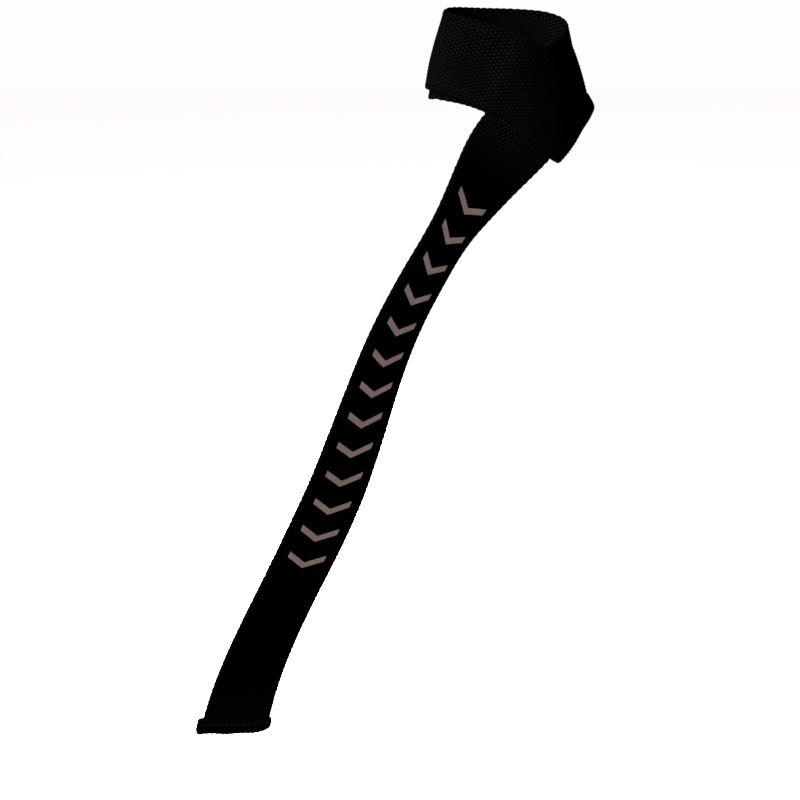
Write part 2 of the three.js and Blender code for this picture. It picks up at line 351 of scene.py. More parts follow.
# %% [markdown]
# ## The free tail
# Below the eye the strap hangs in the air and turns on itself. Three angles say how it lies at
# each place: its lean, its reach to the front and its roll. Adding up short steps in those
# directions gives its line, and the curve that it had on the form fades out in the first few
# centimetres.

# %% Sizes of the tail
TAIL_LENGTH = 365.6 * MM
FLATTEN_LENGTH = 45 * MM
END_SLANT = 4
END_CURL = 2.8 * MM
SLANT_LENGTH = 60 * MM

# Share of the tail's length, then its lean to the left, reach to the front and roll in degrees.
TAIL_LIE = [
    (0.14, 33, 14, 46),
    (0.25, 29, 6, 50),
    (0.38, 20, 0, 46),
    (0.5, 19, -2, 38),
    (0.62, 24, -2, 31),
    (0.76, 25.5, -2, 30),
    (0.88, 21.5, 0, 25),
    (1, 13, 2, 15),
]
LEAN, REACH, ROLL = 1, 2, 3
print("tail", TAIL_LENGTH / MM, "mm, described at", len(TAIL_LIE), "places")

# %% The tail's line
exit_direction = direction_on_form(leaves_form, 0)
exit_ground, exit_normal = on_form(leaves_form, 0)
exit_lift = float(layers_below(leaves_form, 0)) * LAYER_PITCH + 0.5 * STRAP_THICKNESS
exit_point = exit_ground + exit_normal * exit_lift
exit_right = -np.cross(exit_direction, exit_normal)


def tail_axes(lean, reach, roll):
    """The strap's directions ahead, to its right and out of its face."""
    flat = np.cos(reach)
    ahead = np.stack([-np.sin(lean) * flat, -np.sin(reach), -np.cos(lean) * flat], axis=-1)
    level = np.stack([np.cos(lean), 0 * lean, -np.sin(lean)], axis=-1)
    right = scaled(level, np.cos(roll)) - scaled(np.cross(ahead, level), np.sin(roll))
    return ahead, right, np.cross(ahead, right)


def exit_lie():
    """The three angles of the strap as it leaves the form."""
    lean = np.arctan2(-exit_direction[0], -exit_direction[2])
    reach = np.arcsin(-exit_direction[1])
    _, right, face = tail_axes(lean, reach, np.float64(0))
    roll = np.arctan2(-exit_right @ face, exit_right @ right)
    return (0, *np.degrees([lean, reach, roll]))


tail_past = np.arange(0, TAIL_LENGTH + STRAP_WIDTH, PATH_STEP)
lie_rows = [exit_lie(), *TAIL_LIE]
share = np.minimum(tail_past / TAIL_LENGTH, 1)
tail_ahead, tail_right, tail_face = tail_axes(
    *(np.radians(smooth_column(lie_rows, column, share)) for column in (LEAN, REACH, ROLL))
)
tail_steps = np.cumsum(tail_ahead[:-1] * PATH_STEP, axis=0)
tail_line = exit_point + np.concatenate([np.zeros((1, 3)), tail_steps])
tail_end_height = np.interp(TAIL_LENGTH, tail_past, tail_line[:, 2])
print("tail ends at a height of", round(tail_end_height / MM, 1), "mm, from the frame's zero")

# %% Places on the tail


def at_past(field, past):
    """What a field along the tail's line holds at a distance past the eye."""
    return np.stack([np.interp(past, tail_past, field[:, i]) for i in range(3)], axis=-1)


def on_tail(past, across, height):
    """A place past the eye, across the strap and up from the middle of its thickness."""
    past, across, height = np.broadcast_arrays(past, across, height)
    curved = 1 - easing(0, FLATTEN_LENGTH, past)
    ground, ground_normal = on_form(np.full(across.shape, leaves_form), across)
    section = ground + ground_normal * exit_lift - exit_point
    face = at_past(tail_face, past)
    normal = unit(scaled(face, 1 - curved) + scaled(ground_normal, curved))
    right = (1 - curved) * -across + curved * (section @ exit_right)
    point = at_past(tail_line, past)
    point = point + scaled(at_past(tail_ahead, past), (section @ exit_direction) * curved)
    point = point + scaled(at_past(tail_right, past), right)
    point = point + scaled(face, (section @ exit_normal) * curved)
    return point + scaled(normal, height)


def slanted(past, across):
    """Rows turn towards the end until they lie along its cut, which curls up at the right edge."""
    curl = END_CURL * np.maximum(-2 * across / STRAP_WIDTH, 0) ** 3
    cut = across * math.tan(math.radians(END_SLANT)) - curl
    return past + cut * easing(TAIL_LENGTH - SLANT_LENGTH, TAIL_LENGTH, past)


# %% [markdown]
# ## From a place on the flat strap to a place in the air
# The whole strap can now be thought of as lying flat on a bench: a distance from its cut end, a
# place across its width, and a height above the middle of its thickness. One function carries
# such a place to where it is on the closed and hanging strap. Webbing, stitches, tape and printed
# marks are all laid out flat and then taken there by it.

# %% Places on the strap
INNER_LENGTH = seam_end - fold_at
FOLD_LENGTH = math.pi * LAYER_PITCH
LOOP_LENGTH = leaves_form - fold_at
LOOP_START = INNER_LENGTH + FOLD_LENGTH
TAIL_START = LOOP_START + LOOP_LENGTH
STRAP_LENGTH = TAIL_START + TAIL_LENGTH


def on_inner_layer(place, across, height):
    """The folded-back end, inside the outer layer, with its face turned to the form."""
    length = seam_end - place
    turned = easing(seam_end - CUT_SLANT_LENGTH, seam_end, length)
    stray = END_STRAY * (1 - place / INNER_LENGTH) ** 3
    point, normal = on_form(length + (cut_at(across) - seam_end) * turned, across - stray)
    return point + scaled(normal, 0.5 * STRAP_THICKNESS - height)


def on_fold(place, across, height):
    """The half turn from the inner layer to the outer one."""
    turned = math.pi * (1 - (place - INNER_LENGTH) / FOLD_LENGTH)
    point, normal = on_form(fold_at + 0 * place, across)
    direction = direction_on_form(fold_at + 0 * place, across)
    from_middle = LAYER_PITCH + height
    lift = 0.5 * STRAP_THICKNESS + LAYER_PITCH + from_middle * np.cos(turned)
    return point + scaled(normal, lift) - scaled(direction, from_middle * np.sin(turned))


def on_loop(place, across, height):
    """From the fold round the form and out through the eye."""
    length = fold_at + place - LOOP_START
    point, normal = on_form(length, across)
    lift = layers_below(length, across) * LAYER_PITCH + 0.5 * STRAP_THICKNESS + height
    return point + scaled(normal, lift)


def on_hanging(place, across, height):
    return on_tail(slanted(place - TAIL_START, across), across, height)


def on_strap(place, across, height):
    """Where a place on the flat strap is on the closed and hanging one."""
    place, across, height = (np.array(a) for a in np.broadcast_arrays(place, across, height))
    found = np.empty((*place.shape, 3))
    stretches = [
        (place < INNER_LENGTH, on_inner_layer),
        ((place >= INNER_LENGTH) & (place < LOOP_START), on_fold),
        ((place >= LOOP_START) & (place < TAIL_START), on_loop),
        (place >= TAIL_START, on_hanging),
    ]
    for here, carry in stretches:
        if here.any():
            found[here] = carry(place[here], across[here], height[here])
    return found


print("strap", round(STRAP_LENGTH / MM, 1), "mm long, of which tail", round(TAIL_LENGTH / MM, 1))

# %% [markdown]
# ## The webbing
# Heavy cotton webbing is a plain weave. Thick warp yarns run along it, and each rises over one
# weft pick and dives under the next, so its face is a staggered pattern of small crowns. It could
# be a smooth ribbon with a bump texture, but the crowns catch the light and make the edges finely
# uneven, so they are modelled: a line of points runs along every yarn, with four for each rise
# and fall.

# %% Sizes of the weave
WARP_YARNS = 39
PICK_PITCH = 1.76 * MM
CROWN_HEIGHT = 0.17 * MM
SELVEDGE = 1 * MM
CROWN_SPREAD = 0.25
YARN_STRAY = 0.07 * MM
SELVEDGE_RIPPLE = 0.15 * MM
SELVEDGE_BEND = (50, 0, -50)
WEAVE_SEED = 7
WARP_PITCH = (STRAP_WIDTH - 2 * SELVEDGE) / WARP_YARNS
# The back's own coordinate starts an odd count of yarns further on, clear of the front's.
BACK_SHIFT = 45 * WARP_PITCH
print("warp pitch", round(WARP_PITCH / MM, 2), "mm, pick pitch", PICK_PITCH / MM, "mm")

# %% The rise of the weave and the section of the webbing


def crowns(place, across):
    """The rise of the weave, from 1 on a warp crown to -1 where the yarn dives."""
    return np.cos(np.pi * across / WARP_PITCH) * np.cos(np.pi * place / PICK_PITCH)


def ribbon_section():
    """Places across and heights round the section, and where the weave's own coordinate starts and
    ends on each side of it. The back counts from a shifted start, because a yarn that is up on the
    front is down on the back."""
    flat = 0.5 * STRAP_WIDTH - SELVEDGE
    yarns = WARP_PITCH * (np.arange(WARP_YARNS) - (WARP_YARNS - 1) / 2)
    face = np.concatenate([[-flat], yarns, [flat]])
    bend = np.radians(SELVEDGE_BEND)
    out = flat + SELVEDGE * np.cos(bend)
    up = 0.5 * STRAP_THICKNESS * np.sin(bend)
    half = np.full(len(face), 0.5 * STRAP_THICKNESS)
    across = np.concatenate([face, out, face[::-1], -out])
    height = np.concatenate([half, up, -half, -up])
    turn = np.linspace(0, STRAP_THICKNESS, len(bend) + 2)
    back = BACK_SHIFT + face[::-1]
    starts = np.concatenate([face[:-1], flat + turn[:-1], back[:-1], -flat - turn[:-1]])
    ends = np.concatenate([face[1:], flat + turn[1:], back[1:], -flat - turn[1:]])
    return across, height, starts, ends


print("points round the section:", len(ribbon_section()[0]))

# %% The ribbon


def mesh_object(name, points, faces):
    """A new smooth piece from points and faces."""
    mesh = bpy.data.meshes.new(name)
    mesh.from_pydata([tuple(p) for p in points], [], [tuple(f) for f in faces])
    mesh.update()
    mesh.polygons.foreach_set("use_smooth", [True] * len(mesh.polygons))
    piece = bpy.data.objects.new(name, mesh)
    bpy.context.collection.objects.link(piece)
    return piece


def ribbon(name):
    """The whole webbing, with a row of points at each crown and each dip along it."""
    across, height, starts, ends = ribbon_section()
    count = len(across)
    rows = 2 * round(STRAP_LENGTH / PICK_PITCH) + 1
    place = np.linspace(0, STRAP_LENGTH, rows)[:, None]
    on_face = np.isclose(np.abs(height), 0.5 * STRAP_THICKNESS)
    luck = np.random.default_rng(WEAVE_SEED)
    uneven = 1 + CROWN_SPREAD * luck.uniform(-1, 1, (rows, count))
    rise = np.where(on_face, CROWN_HEIGHT * uneven * crowns(place, across[None]), 0)
    ripple = SELVEDGE_RIPPLE * uneven * np.sign(across) * np.cos(np.pi * place / PICK_PITCH)
    aside = np.where(on_face, YARN_STRAY * luck.uniform(-1, 1, (rows, count)), ripple)
    points = on_strap(place, across[None] + aside, height[None] + rise).reshape(-1, 3)
    row, side = np.meshgrid(np.arange(rows - 1), np.arange(count), indexing="ij")
    here = (row * count + side).ravel()
    beside = (row * count + (side + 1) % count).ravel()
    faces = np.stack([here, beside, beside + count, here + count], axis=1)
    front = np.arange(count // 2 - 1)
    back = count - 1 - front
    start_cap = np.stack([front + 1, front, back, back - 1], axis=1)
    end_cap = (rows - 1) * count + np.stack([front, front + 1, back - 1, back], axis=1)
    piece = mesh_object(name, points, np.concatenate([faces, start_cap, end_cap]).tolist())
    lay_weave(piece, place[:, 0], row, side, starts, ends)
    return piece


def lay_weave(piece, place, row, side, starts, ends):
    """The piece's own UV map, across and along the strap in metres."""
    u = np.stack([starts[side], ends[side], ends[side], starts[side]], axis=-1)
    v = np.stack([place[row], place[row], place[row + 1], place[row + 1]], axis=-1)
    laid = np.zeros((len(piece.data.loops), 2))
    woven = np.stack([u, v], axis=-1).reshape(-1, 2)
    laid[: len(woven)] = woven
    piece.data.uv_layers.new(name="weave").data.foreach_set("uv", laid.ravel())


# %% Make the webbing
strap = ribbon("strap_webbing")
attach(strap, "root")
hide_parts("webbing")
print("webbing faces", len(strap.data.polygons))

# %% [markdown]
# ## Helpers for shaping by hand
# An operator acts on all that is selected, so everything is deselected before a new shape is
# added. A mesh is changed in edit mode and read or written in object mode. A finished piece is
# laid out flat, with X across the strap, Y along it and Z up from the middle of its thickness,
# and keeps those flat places as an attribute, because its finish follows the cloth and not the
# air around it.

# %% Selecting and applying


def deselect():
    if bpy.context.object and bpy.context.object.mode != "OBJECT":
        bpy.ops.object.mode_set(mode="OBJECT")
    bpy.ops.object.select_all(action="DESELECT")


def edit_all():
    bpy.ops.object.mode_set(mode="EDIT")
    bpy.ops.mesh.select_all(action="SELECT")


def object_mode():
    bpy.ops.object.mode_set(mode="OBJECT")


def apply_all(piece):
    """Applies a piece's modifiers in their order."""
    deselect()
    bpy.context.view_layer.objects.active = piece
    piece.select_set(True)
    for modifier in list(piece.modifiers):
        bpy.ops.object.modifier_apply(modifier=modifier.name)


# %% Points of a piece


def read_points(piece):
    found = np.empty(3 * len(piece.data.vertices))
    piece.data.vertices.foreach_get("co", found)
    return found.reshape(-1, 3)


def write_points(piece, points):
    piece.data.vertices.foreach_set("co", np.asarray(points).ravel())
    piece.data.update()


def keep_flat_place(piece):
    """Keeps where each point lies on the flat strap, for a finish that follows the cloth."""
    kept = piece.data.attributes.new("flat_place", "FLOAT_VECTOR", "POINT")
    kept.data.foreach_set("vector", read_points(piece).ravel())


def carry_to_strap(piece):
    """Takes a piece that was laid out flat to its place on the strap."""
    keep_flat_place(piece)
    flat = read_points(piece)
    write_points(piece, on_strap(flat[:, 1], flat[:, 0], flat[:, 2]))


# %% [markdown]
# ## Printed marks
# The grip side of the tail carries a row of flat grey marks. They are a print, a thin raised skin
# that follows the cloth. One chevron is shaped from a grid, thickened, and copied along the flat
# strap, and then all the copies are carried on to the hanging tail.

# %% Sizes of the printed marks
MARK_COUNT = 13
MARK_FIRST = 40 * MM
MARK_PITCH = 17.3 * MM
MARK_WIDTH = 23 * MM
MARK_STROKE = 3.6 * MM
MARK_POINT = 0.5
MARK_SKIN = 0.38 * MM
MARK_SINK = 0.12 * MM
MARK_BASE = 0.5 * STRAP_THICKNESS - MARK_SINK
MARK_COLUMNS, MARK_ROWS = 32, 5
MARK_EDGE = 0.1 * MM
MARK_EDGE_STEPS = 2
MARK_EDGE_ANGLE = 60
MARK_SMOOTH_ANGLE = 40
print("row of marks", round((MARK_COUNT - 1) * MARK_PITCH / MM, 1), "mm long")

# %% Printed marks


def chevron():
    """One mark, flat at the origin: a strip whose middle is pushed ahead into a point."""
    deselect()
    bpy.ops.mesh.primitive_grid_add(x_subdivisions=MARK_COLUMNS, y_subdivisions=MARK_ROWS, size=1)
    mark = bpy.context.object
    edit_all()
    bpy.ops.transform.resize(value=(MARK_WIDTH, MARK_STROKE, 1))
    object_mode()
    points = read_points(mark)
    points[:, 1] += MARK_POINT * (0.5 * MARK_WIDTH - np.abs(points[:, 0]))
    write_points(mark, points)
    skin = mark.modifiers.new("skin", "SOLIDIFY")
    skin.thickness = MARK_SKIN
    skin.offset = 1
    edge = mark.modifiers.new("soft_edge", "BEVEL")
    edge.width = MARK_EDGE
    edge.segments = MARK_EDGE_STEPS
    edge.limit_method = "ANGLE"
    edge.angle_limit = math.radians(MARK_EDGE_ANGLE)
    apply_all(mark)
    return mark


def row_of_marks():
    first = chevron()
    flat = read_points(first)
    row = [first]
    for _ in range(1, MARK_COUNT):
        mark = first.copy()
        mark.data = first.data.copy()
        bpy.context.collection.objects.link(mark)
        row.append(mark)
    for i, mark in enumerate(row):
        write_points(mark, flat + (0, TAIL_START + MARK_FIRST + i * MARK_PITCH, MARK_BASE))
    deselect()
    for mark in row:
        mark.select_set(True)
    bpy.context.view_layer.objects.active = first
    bpy.ops.object.join()
    first.name = "grip_marks"
    bpy.ops.object.shade_smooth_by_angle(angle=math.radians(MARK_SMOOTH_ANGLE))
    return first


marks = row_of_marks()
carry_to_strap(marks)
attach(marks, "root")
print("marks", MARK_COUNT, "faces", len(marks.data.polygons))

# %% [markdown]
# ## The bound end
# A short tape is folded over the slanted end of the tail and sewn through, which keeps the
# webbing from fraying. A block of the tape's outer size is rounded, the pocket for the webbing is
# cut out of it, and a voxel remesh makes one even soft skin that can be pinched along the seam
# and then carried to the end of the strap.

# %% Sizes of the bound end
BINDING_HEIGHT = 7.8 * MM
BINDING_WALL = 1.2 * MM
BINDING_PROUD_LEFT = 2.6 * MM
BINDING_PROUD_RIGHT = 1.4 * MM
BINDING_SHOULDER = 0.6
BINDING_CORNER = 2.4 * MM
SEAT_GAP = 0.3 * MM
TAPE_HALF = 0.5 * STRAP_THICKNESS + SEAT_GAP + BINDING_WALL
TAPE_TOP = STRAP_LENGTH - BINDING_HEIGHT
TAPE_BOTTOM = STRAP_LENGTH + SEAT_GAP + BINDING_WALL
TAPE_LEFT = 0.5 * STRAP_WIDTH + BINDING_PROUD_LEFT
TAPE_RIGHT = -0.5 * STRAP_WIDTH - BINDING_PROUD_RIGHT
print("tape reaches", round((TAPE_LEFT - TAPE_RIGHT) / MM, 1), "mm across")

# %% The rounded block and its pocket
TAPE_ROUND = 1.9 * MM
TAPE_ROUND_STEPS = 6
POCKET_EASE = 0.5 * SEAT_GAP
POCKET_PAST_TOP = 5 * MM
TAPE_VOXEL = 0.32 * MM
SMOOTH_SHARE = 0.5
SMOOTH_ROUNDS = 4


def block(low, high):
    """A box between two corners, with its place in its mesh."""
    deselect()
    size = [b - a for a, b in zip(low, high)]
    bpy.ops.mesh.primitive_cube_add(size=1, location=[(a + b) / 2 for a, b in zip(low, high)])
    made = bpy.context.object
    edit_all()
    bpy.ops.transform.resize(value=size)
    object_mode()
    bpy.ops.object.transform_apply(location=True, rotation=False, scale=False)
    return made


def tape_end():
    tape = block((TAPE_RIGHT, TAPE_TOP, -TAPE_HALF), (TAPE_LEFT, TAPE_BOTTOM, TAPE_HALF))
    edge = tape.modifiers.new("round", "BEVEL")
    edge.width = TAPE_ROUND
    edge.segments = TAPE_ROUND_STEPS
    apply_all(tape)
    half = 0.5 * STRAP_THICKNESS + POCKET_EASE
    side = 0.5 * STRAP_WIDTH + POCKET_EASE
    top, bottom = TAPE_TOP - POCKET_PAST_TOP, STRAP_LENGTH + POCKET_EASE
    pocket = block((-side, top, -half), (side, bottom, half))
    cut = tape.modifiers.new("pocket", "BOOLEAN")
    cut.operation = "DIFFERENCE"
    cut.object = pocket
    soft = tape.modifiers.new("soft", "REMESH")
    soft.mode = "VOXEL"
    soft.voxel_size = TAPE_VOXEL
    even = tape.modifiers.new("even", "SMOOTH")
    even.factor = SMOOTH_SHARE
    even.iterations = SMOOTH_ROUNDS
    apply_all(tape)
    bpy.data.objects.remove(pocket)
    tape.name = "end_tape"
    return tape


tape = tape_end()
print("tape faces", len(tape.data.polygons))

# %% Round corners


def rounded_in(radius, from_end):
    """How far a rounded corner draws in the edge at a distance from the corner's end."""
    return radius - np.sqrt(radius**2 - np.maximum(radius - from_end, 0) ** 2)


def turn_corner(across, place, side, end, radius):
    """Moves the points near one corner so that the tape's outline turns there in an arc. The
    outline's two straight lines meet at side, which is a place across, and end, a place along."""
    centre = end + math.copysign(radius, 0.5 * (TAPE_TOP + TAPE_BOTTOM) - end)
    from_side = (side - across) * np.sign(side)
    share = 1 - rounded_in(radius, np.maximum(from_side, 0)) / radius
    past_centre = (place - centre) * (end - centre) > 0
    near = past_centre & (from_side < radius)
    return np.where(near, centre + (place - centre) * share, place)


def round_corners(tape):
    points = read_points(tape)
    across, place, height = points.T
    for side, proud in ((TAPE_LEFT, BINDING_PROUD_LEFT), (TAPE_RIGHT, BINDING_PROUD_RIGHT)):
        place = turn_corner(across, place, side, TAPE_BOTTOM, BINDING_CORNER)
        place = turn_corner(across, place, side, TAPE_TOP, BINDING_SHOULDER * proud)
    write_points(tape, np.stack([across, place, height], axis=1))


round_corners(tape)
print("corners rounded to", BINDING_CORNER / MM, "mm")

# %% The seam's pinch and the soft edges
HEM_LINE = TAPE_TOP + 2.4 * MM
HEM_STITCH = 3.2 * MM
PINCH_DEPTH = 0.45 * MM
PINCH_WIDTH = 1.1 * MM
STITCH_PULL = 0.25
FOLD_SKEW = 1.8 * MM
SOFT_EDGE = 2 * MM

# Height and length of the two waves along the tape's lower edge.
EDGE_WAVES = [(0.22 * MM, 2.9 * MM), (0.3 * MM, 17 * MM)]


def pinch(tape):
    """Draws the tape in along its seam, more at each stitch, pushes its upper edge askew at the
    right, where the end curls up, and lets its lower edge ripple."""
    points = read_points(tape)
    across, place, height = points.T
    from_seam = (place - HEM_LINE) / PINCH_WIDTH
    stitches = 1 - STITCH_PULL + STITCH_PULL * np.cos(2 * np.pi * across / HEM_STITCH)
    pull = PINCH_DEPTH * np.exp(-(from_seam**2)) * stitches
    outer = np.clip((np.abs(height) - 0.5 * STRAP_THICKNESS - SEAT_GAP) / BINDING_WALL, 0, 1)
    height = height - np.sign(height) * pull * outer
    low = easing(STRAP_LENGTH - SOFT_EDGE, TAPE_BOTTOM, place)
    skew = FOLD_SKEW * np.maximum(-2 * across / STRAP_WIDTH, 0) ** 3
    place = place + skew * (1 - easing(TAPE_TOP, STRAP_LENGTH, place))
    for size, span in EDGE_WAVES:
        place = place + low * size * np.sin(2 * np.pi * across / span)
    write_points(tape, np.stack([across, place, height], axis=1))


pinch(tape)
print("seam pinched in by", PINCH_DEPTH / MM, "mm")

# %% Carry the tape to the end of the strap
carry_to_strap(tape)
deselect()
tape.select_set(True)
bpy.context.view_layer.objects.active = tape
bpy.ops.object.shade_smooth()
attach(tape, "root")
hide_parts("end_binding")
print("tape carried,", len(tape.data.vertices), "points")

# %% [markdown]
# ## Stitches
# The eye is closed by a rectangle of stitches through both layers, and the tape by one row that
# shows on both of its faces. A stitch is a short length of thick thread that dips into the cloth
# at both ends. One is made, and each copy is turned and laid along its seam.

# %% One stitch
THREAD_HALF = 0.22 * MM
STITCH_GAP = 0.5 * MM
STITCH_DIP = 1.2
GRAIN_SIDES, GRAIN_RINGS = 8, 7


def one_stitch():
    """A grain of thread, one unit long, with rounded ends."""
    deselect()
    bpy.ops.mesh.primitive_uv_sphere_add(segments=GRAIN_SIDES, ring_count=GRAIN_RINGS, radius=0.5)
    grain = bpy.context.object
    edit_all()
    bpy.ops.transform.rotate(value=math.pi / 2, orient_axis="Y", center_override=(0, 0, 0))
    object_mode()
    points = read_points(grain)
    faces = [tuple(f.vertices) for f in grain.data.polygons]
    bpy.data.objects.remove(grain)
    return points, faces


GRAIN, GRAIN_FACES = one_stitch()
print("faces in a stitch:", len(GRAIN_FACES))

# %% Rows of stitches


def sewn_row(start, end, height, stitch):
    """Flat places of the stitches' points, in a row from start to end. Each of these two is a place
    across and a place along."""
    start, end = np.array(start), np.array(end)
    run = np.linalg.norm(end - start)
    count = max(1, round(run / stitch))
    long = run / count - STITCH_GAP
    ahead = (end - start) / run
    aside = np.array([-ahead[1], ahead[0]])
    rows = []
    for i in range(count):
        centre = start + (end - start) * (i + 0.5) / count
        flat = centre + GRAIN[:, :1] * long * ahead + GRAIN[:, 1:2] * 2 * THREAD_HALF * aside
        dip = STITCH_DIP * THREAD_HALF * (2 * GRAIN[:, 0]) ** 4
        rows.append(np.column_stack([flat, height + GRAIN[:, 2] * 2 * THREAD_HALF - dip]))
    return rows


def sew(name, rows):
    """One piece of all the stitches of a seam, carried to its place on the strap."""
    points = np.concatenate(rows)
    faces = [[v + i * len(GRAIN) for v in f] for i in range(len(rows)) for f in GRAIN_FACES]
    thread = mesh_object(name, points, faces)
    deselect()
    thread.select_set(True)
    bpy.context.view_layer.objects.active = thread
    edit_all()
    bpy.ops.mesh.normals_make_consistent(inside=False)
    object_mode()
    carry_to_strap(thread)
    return thread


# %% The two seams
EYE_STITCH = 3 * MM
EYE_SEAM_INSET = 4.5 * MM
HEM_INSET_LEFT = 2.5 * MM
HEM_INSET_RIGHT = 2 * MM

# Height of the stitches above the middle of the strap's thickness: a little proud of the cloth, and
# at the hem down in the pinch.
EYE_THREAD_HEIGHT = 0.5 * STRAP_THICKNESS + 0.2 * THREAD_HALF
HEM_THREAD_HEIGHT = TAPE_HALF - 0.7 * PINCH_DEPTH + 0.4 * THREAD_HALF


def eye_seam():
    first = LOOP_START + (seam_start - fold_at) + EYE_SEAM_INSET
    last = LOOP_START + (seam_end - fold_at) - EYE_SEAM_INSET
    side = 0.5 * STRAP_WIDTH - EYE_SEAM_INSET
    corners = [(-side, first), (side, first), (side, last), (-side, last), (-side, first)]
    rows = []
    for start, end in zip(corners, corners[1:]):
        rows += sewn_row(start, end, EYE_THREAD_HEIGHT, EYE_STITCH)
    return sew("eye_thread", rows)


def hem_seam():
    start, end = (TAPE_RIGHT + HEM_INSET_RIGHT, HEM_LINE), (TAPE_LEFT - HEM_INSET_LEFT, HEM_LINE)
    front = sewn_row(start, end, HEM_THREAD_HEIGHT, HEM_STITCH)
    back = [row * (1, 1, -1) for row in front]
    return sew("hem_thread", front + back)


threads = [eye_seam(), hem_seam()]
for thread in threads:
    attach(thread, "root")
    print(thread.name, "faces", len(thread.data.polygons))


# %% [markdown]
# ## Finishes
# Black cloth is never one flat black. The crowns of the yarns are smoother than the grooves, each
# yarn has its twist, and the tone wanders slowly over the strap. The grooves are painted almost
# black as painted shade, so the crowns stand out lighter, and the thread is painted darker between
# its strands as painted shade. The pattern follows the cloth's own coordinates, so it bends with
# the strap, and it is worked out by nodes alone. A small class keeps the material and adds its
# nodes, so that each finish below reads like a recipe.

# %% Helpers for the finishes


class Finish:
    """A material and a short way to add and join its nodes."""

    def __init__(self, name):
        self.material = bpy.data.materials.new(name)
        self.material.use_nodes = True
        self.tree = self.material.node_tree
        self.shader = self.tree.nodes["Principled BSDF"]

    def node(self, kind, **settings):
        made = self.tree.nodes.new(kind)
        for key, value in settings.items():
            setattr(made, key, value)
        return made

    def feed(self, socket, value):
        if isinstance(value, bpy.types.NodeSocket):
            self.tree.links.new(value, socket)
        else:
            socket.default_value = value

    def math(self, operation, *values):
        made = self.node("ShaderNodeMath", operation=operation)
        for socket, value in zip(made.inputs, values):
            self.feed(socket, value)
        return made.outputs[0]

    def parts(self, vector):
        split = self.node("ShaderNodeSeparateXYZ")
        self.feed(split.inputs[0], vector)
        return split.outputs

    def noise(self, vector, scale, detail):
        made = self.node("ShaderNodeTexNoise")
        self.feed(made.inputs["Vector"], vector)
        made.inputs["Scale"].default_value = scale
        made.inputs["Detail"].default_value = detail
        return made.outputs["Fac"]

    def between(self, value, low, high, new_low=0.0, new_high=1.0):
        made = self.node("ShaderNodeMapRange", interpolation_type="SMOOTHSTEP")
        for socket, x in zip(made.inputs, (value, low, high, new_low, new_high)):
            self.feed(socket, x)
        return made.outputs[0]

    def mix_color(self, share, first, second):
        made = self.node("ShaderNodeMix", data_type="RGBA")
        colors = [socket for socket in made.inputs if socket.type == "RGBA"]
        self.feed(made.inputs[0], share)
        self.feed(colors[0], first)
        self.feed(colors[1], second)
        return next(socket for socket in made.outputs if socket.type == "RGBA")

    def bump(self, height, distance, strength):
        made = self.node("ShaderNodeBump")
        self.feed(made.inputs["Height"], height)
        made.inputs["Distance"].default_value = distance
        made.inputs["Strength"].default_value = strength
        self.feed(self.shader.inputs["Normal"], made.outputs[0])


# %% The cloth's own coordinates


def weave_map(finish):
    """On the webbing, its UV map: X across and Y along, in metres."""
    return finish.node("ShaderNodeUVMap", uv_map="weave").outputs["UV"]


def flat_place(finish):
    """On the other pieces, the flat place kept with each point."""
    return finish.node("ShaderNodeAttribute", attribute_name="flat_place").outputs["Vector"]


def weave_rise(finish, across, lengthwise, across_pitch, along_pitch):
    """The same rise as the modelled weave, from 1 on a crown to -1 in a dip."""
    warp = finish.math("COSINE", finish.math("MULTIPLY", across, math.pi / across_pitch))
    weft = finish.math("COSINE", finish.math("MULTIPLY", lengthwise, math.pi / along_pitch))
    return finish.math("MULTIPLY", warp, weft)


# %% Woven cloth
LIT_FROM, LIT_FULL = 0.2, 0.9
TWIST_LEAN = 2.2
TWIST_PITCH = 0.42 * MM
FIBRE_SCALE, WANDER_SCALE = 2600.0, 55.0
CLOTH_DETAIL = 3.0
NOISE_LOW, NOISE_HIGH = 0.3, 0.7
FIBRE_DARKEST, WANDER_DARKEST = 0.55, 0.6
GROOVE_ROUGHNESS, CROWN_ROUGHNESS = 1.0, 0.32
TONE_SMOOTHEST = 0.8
TWIST_BUMP, FIBRE_BUMP = 0.16, 0.5
CLOTH_BUMP, CLOTH_BUMP_STRENGTH = 0.16 * MM, 0.8
CLOTH_SPECULAR = 0.01


